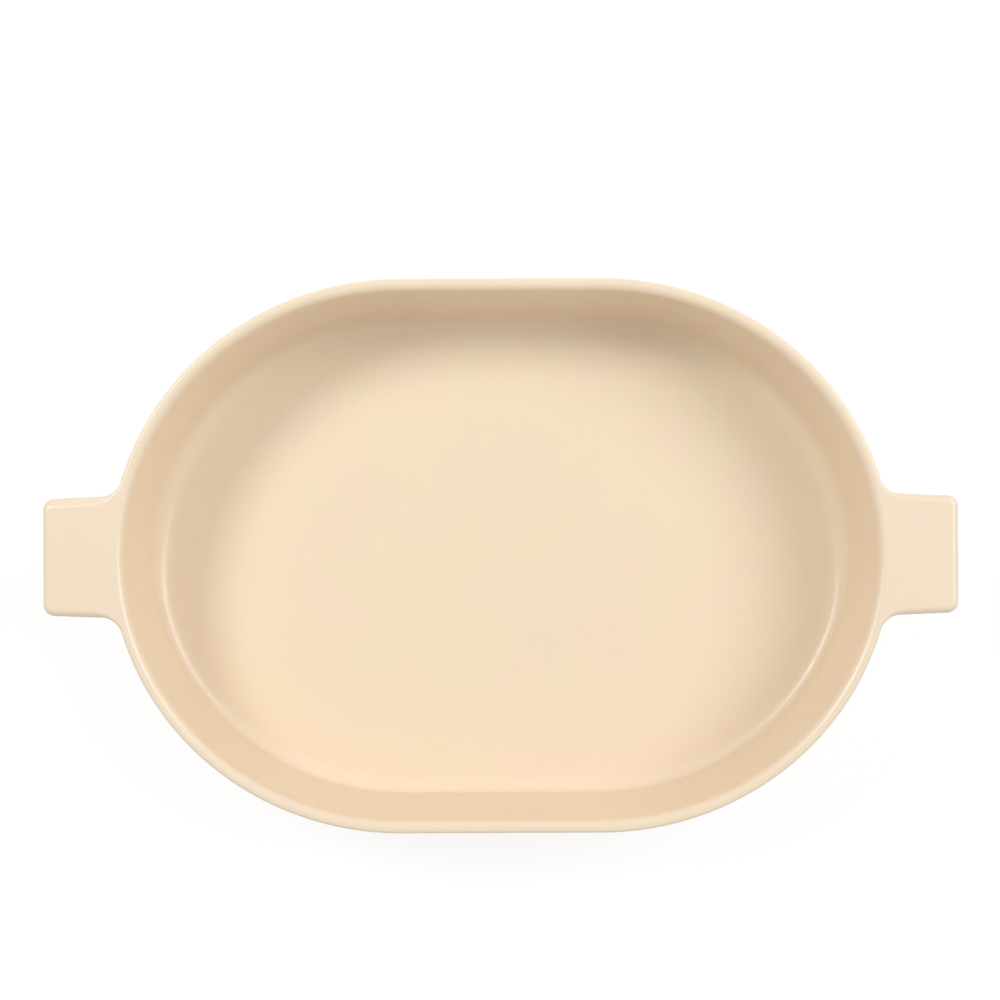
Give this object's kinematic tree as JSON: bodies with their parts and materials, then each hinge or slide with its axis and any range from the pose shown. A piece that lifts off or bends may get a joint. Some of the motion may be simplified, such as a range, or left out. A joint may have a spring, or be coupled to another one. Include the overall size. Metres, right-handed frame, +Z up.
{
  "type": "baking dish",
  "caption": "Oval stoneware baking dish with straight long sides, a low leaning wall, a rounded rim, a bare foot ring and a flat tab handle at each end, flush with the rim.",
  "frame": {"origin": "on the table under the middle of the dish", "axes": "+X along the dish to the right handle, +Y across to the rear long side, +Z up"},
  "size_m": [0.38, 0.23, 0.06],
  "materials": {
    "glazed_stoneware": "satin cream glaze",
    "bare_stoneware": "unglazed, matt"
  },
  "bodies": {
    "root": {"floor_slab": "glazed_stoneware", "side_wall": "glazed_stoneware", "rim_band": "glazed_stoneware", "left_handle": "glazed_stoneware", "right_handle": "glazed_stoneware", "foot_ring": "bare_stoneware"}
  },
  "joints": []
}
